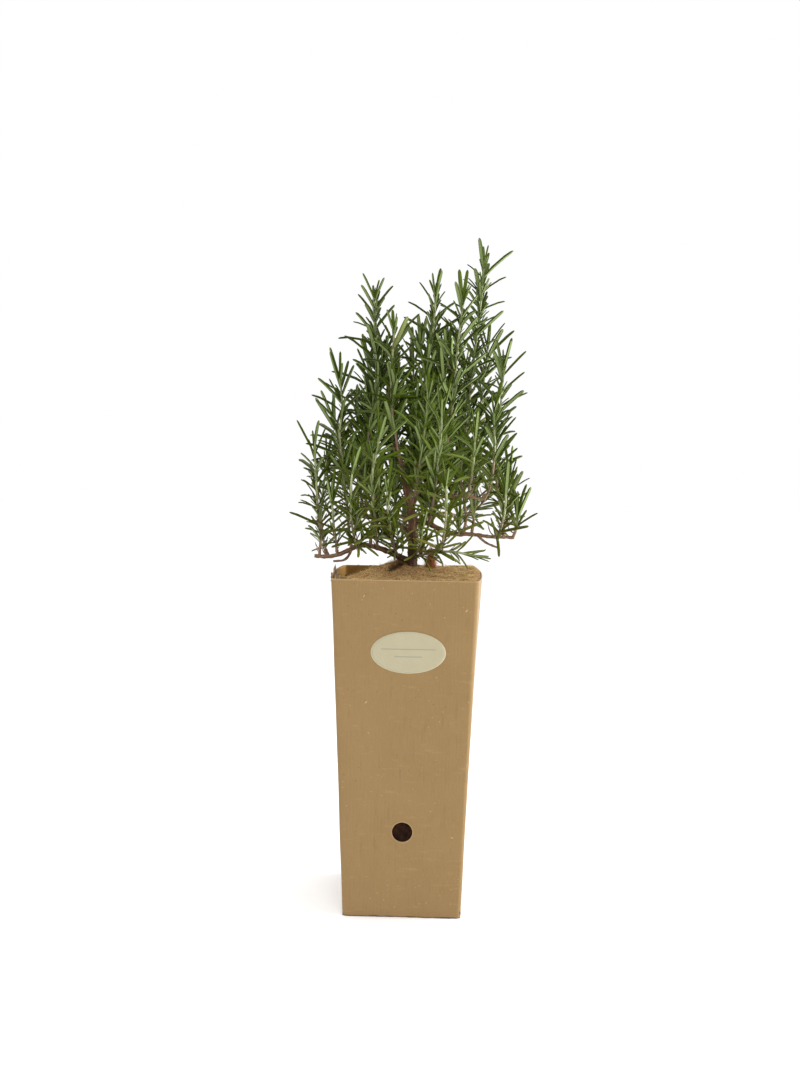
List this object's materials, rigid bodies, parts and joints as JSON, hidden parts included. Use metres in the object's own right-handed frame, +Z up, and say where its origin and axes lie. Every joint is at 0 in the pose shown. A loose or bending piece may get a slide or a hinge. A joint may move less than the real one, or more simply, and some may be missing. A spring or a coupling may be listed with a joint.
{
  "type": "potted rosemary plant",
  "caption": "Rosemary growing upright in a tall tapered corrugated-board pot of compost with a coir mulch mat; stands on a flat surface.",
  "frame": {"origin": "centre of the pot's underside", "axes": "+Z up along the pot and the plant; -Y out of the front panel that carries the label; +X to the right of a viewer in front"},
  "size_m": [0.2429, 0.1753, 0.6654],
  "materials": {
    "kraft_board": "matte",
    "label_paper": "satin",
    "compost": "rough",
    "coir": "rough",
    "bark": "rough",
    "foliage": "satin"
  },
  "bodies": {
    "root": {"cardboard_pot": "kraft_board", "oval_label": "label_paper", "compost": "compost", "coir_mat": "coir", "trunk_and_branches": "bark", "leafy_shoot_01": "foliage", "leafy_shoot_02": "foliage", "leafy_shoot_03": "foliage", "leafy_shoot_04": "foliage", "leafy_shoot_05": "foliage", "leafy_shoot_06": "foliage", "leafy_shoot_07": "foliage", "leafy_shoot_08": "foliage", "leafy_shoot_09": "foliage", "leafy_shoot_10": "foliage", "leafy_shoot_11": "foliage", "leafy_shoot_12": "foliage", "leafy_shoot_13": "foliage", "leafy_shoot_14": "foliage", "leafy_shoot_15": "foliage", "leafy_shoot_16": "foliage", "leafy_shoot_17": "foliage", "leafy_shoot_18": "foliage", "leafy_shoot_19": "foliage", "leafy_shoot_20": "foliage", "leafy_shoot_21": "foliage", "leafy_shoot_22": "foliage", "leafy_shoot_23": "foliage", "leafy_shoot_24": "foliage", "leafy_shoot_25": "foliage", "leafy_shoot_26": "foliage", "leafy_shoot_27": "foliage", "leafy_shoot_28": "foliage", "leafy_shoot_29": "foliage", "leafy_shoot_30": "foliage", "leafy_shoot_31": "foliage", "leafy_shoot_32": "foliage", "leafy_shoot_33": "foliage", "leafy_shoot_34": "foliage", "leafy_shoot_35": "foliage", "leafy_shoot_36": "foliage"}
  },
  "joints": []
}
